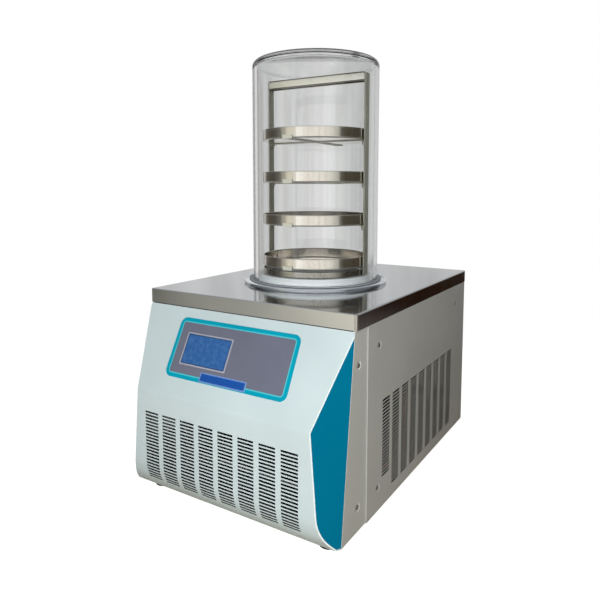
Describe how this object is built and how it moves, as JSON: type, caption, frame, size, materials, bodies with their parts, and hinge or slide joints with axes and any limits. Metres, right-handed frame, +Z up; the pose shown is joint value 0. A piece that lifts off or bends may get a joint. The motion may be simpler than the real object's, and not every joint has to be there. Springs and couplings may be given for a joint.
{
  "type": "freeze dryer",
  "caption": "Bench-top freeze dryer: sheet-metal casing with leaning front and control panel, cold trap under a clear bell jar, and a rack of round trays.",
  "frame": {"origin": "middle of the overall width and depth, on the table under the feet", "axes": "+X to the right seen from the front, +Y towards the back, +Z up"},
  "size_m": [0.4406, 0.6716, 0.8195],
  "materials": {
    "front_paint": "pale blue-white textured powder paint",
    "teal_paint": "satin teal paint",
    "side_paint": "light warm grey powder paint",
    "inner_paint": "plain grey paint inside the casing",
    "black_paint": "black enamel",
    "plate_steel": "smooth bright stainless sheet",
    "flange_steel": "polished stainless flange",
    "tray_steel": "bright spun stainless",
    "rack_steel": "stainless strip",
    "screw_steel": "bright plated steel",
    "fin_aluminium": "plain aluminium",
    "copper": "drawn copper tube",
    "brass": "plain brass",
    "black_rubber": "matt black rubber",
    "grey_rubber": "grey silicone gasket",
    "clear_hose": "milky silicone hose",
    "overlay_film": "printed grey film with a teal border",
    "display_bezel": "light grey plastic frame",
    "display_blue": "blue display under a clear sheet",
    "label_blue": "plain blue label plate",
    "board_green": "green circuit board",
    "white_plastic": "white moulded plastic",
    "clear_acrylic": "clear acrylic",
    "foam": "rigid foam",
    "black_plastic": "black moulded plastic",
    "red_plastic": "red plastic"
  },
  "bodies": {
    "root": {"base_pan": "inner_paint", "front_panel": "front_paint", "left_cheek": "teal_paint", "right_cheek": "teal_paint", "left_side_strip": "side_paint", "right_side_strip": "side_paint", "left_side_panel": "side_paint", "right_side_panel": "side_paint", "rear_panel": "side_paint", "left_top_rail": "inner_paint", "right_top_rail": "inner_paint", "top_plate": "plate_steel", "foot_front_left": "black_rubber", "foot_front_right": "black_rubber", "foot_rear_left": "black_rubber", "foot_rear_right": "black_rubber", "foot_screws": "screw_steel", "casing_screws": "screw_steel", "panel_overlay": "overlay_film", "display_frame": "display_bezel", "display_screen": "display_blue", "label_plate": "label_blue", "controller_board": "board_green", "seal_flange": "flange_steel", "jar_gasket": "grey_rubber", "trap_collar": "white_plastic", "bell_jar": "clear_acrylic", "rack_frame": "rack_steel", "rack_base_ring": "rack_steel", "tray_support_1": "rack_steel", "tray_support_2": "rack_steel", "tray_support_3": "rack_steel", "tray_support_4": "rack_steel", "tray_1": "tray_steel", "tray_2": "tray_steel", "tray_3": "tray_steel", "tray_4": "tray_steel", "trap_vessel": "tray_steel", "evaporator_coil": "copper", "trap_insulation": "foam", "vacuum_pipe": "tray_steel", "vacuum_gauge": "black_plastic", "drain_tube": "clear_hose", "drain_valve": "brass", "compressor": "black_paint", "compressor_mounts": "black_rubber", "terminal_cover": "black_plastic", "condenser": "fin_aluminium", "fan_shroud": "black_paint", "fan_motor": "black_paint", "filter_drier": "copper", "refrigerant_lines": "copper", "power_inlet": "black_plastic", "switch_housing": "black_plastic", "power_supply": "inner_paint", "power_outlet": "black_plastic"},
    "fan": {"fan_blades": "fin_aluminium", "fan_shaft": "screw_steel"},
    "rocker": {"power_rocker": "red_plastic"},
    "lever": {"drain_lever": "red_plastic"}
  },
  "joints": [
    {"name": "fan_spin", "type": "hinge", "parent": "root", "child": "fan", "pos_m": [0, -0.194, 0.1236], "axis": [0, 1, 0], "continuous": true},
    {"name": "rocker_tip", "type": "hinge", "parent": "root", "child": "rocker", "pos_m": [0.165, 0.29485, 0.072], "axis": [1, 0, 0], "range_deg": [0, 16]},
    {"name": "drain_turn", "type": "hinge", "parent": "root", "child": "lever", "pos_m": [0, 0.31075, 0.057], "axis": [0, 0, 1], "range_deg": [0, 90]}
  ]
}
